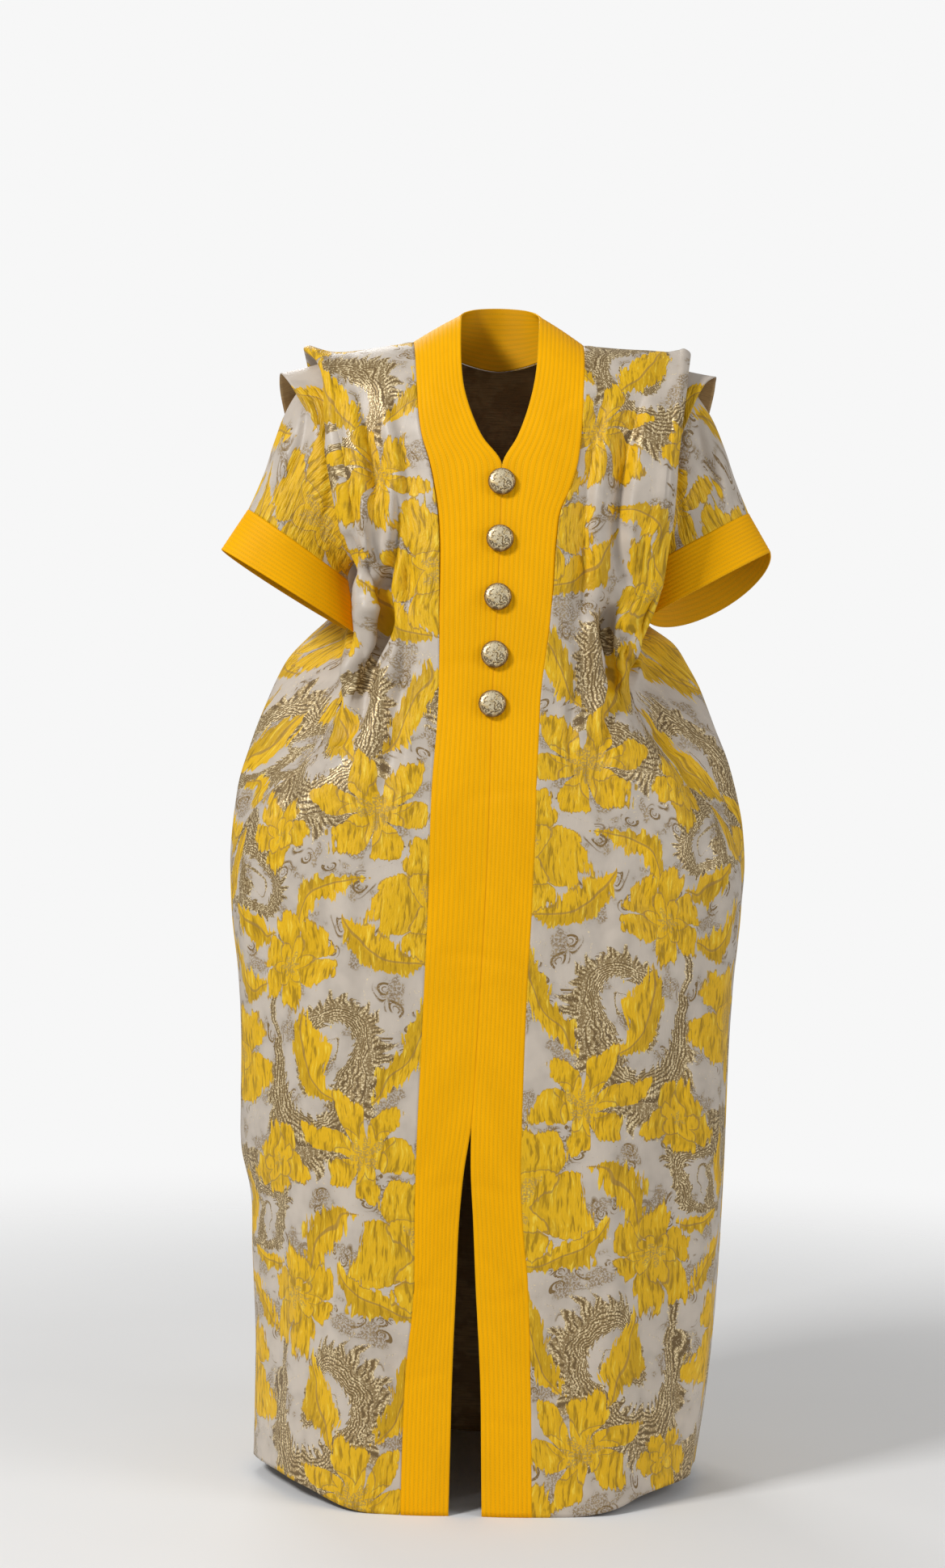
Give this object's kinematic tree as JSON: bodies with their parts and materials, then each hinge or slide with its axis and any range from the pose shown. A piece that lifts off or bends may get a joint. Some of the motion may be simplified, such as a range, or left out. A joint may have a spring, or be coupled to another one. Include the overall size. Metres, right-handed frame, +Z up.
{
  "type": "grand boubou robe",
  "caption": "Full-length grand boubou robe in its hollow worn form, with stacked shoulder pleats, short wide sleeves with banded cuffs, a V neck, a buttoned front band and a front hem slit.",
  "frame": {"origin": "midway between the shoulders, at the height of the shoulder line, where the wearer holds the robe up", "axes": "+Z up, from the hem to the neck; -Y to the robe's front; +X to the wearer's left"},
  "size_m": [0.6805, 0.4162, 1.4491],
  "materials": {
    "brocade": "jacquard brocade: silver-white satin ground, crinkled yellow flowers and leaves, metallic gold scrolls",
    "yellow_band": "yellow-orange satin, padded and topstitched in close parallel rows",
    "covered_button": "domed button covered with the same gold and silver brocade"
  },
  "bodies": {
    "root": {"back": "brocade", "band_left": "yellow_band", "band_neck": "yellow_band", "band_right": "yellow_band", "button_1": "covered_button", "button_2": "covered_button", "button_3": "covered_button", "button_4": "covered_button", "button_5": "covered_button", "cuff_left": "yellow_band", "cuff_right": "yellow_band", "front_left": "brocade", "front_right": "brocade", "shoulder_pleat_left": "brocade", "shoulder_pleat_right": "brocade", "sleeve_left": "brocade", "sleeve_right": "brocade"}
  },
  "joints": []
}
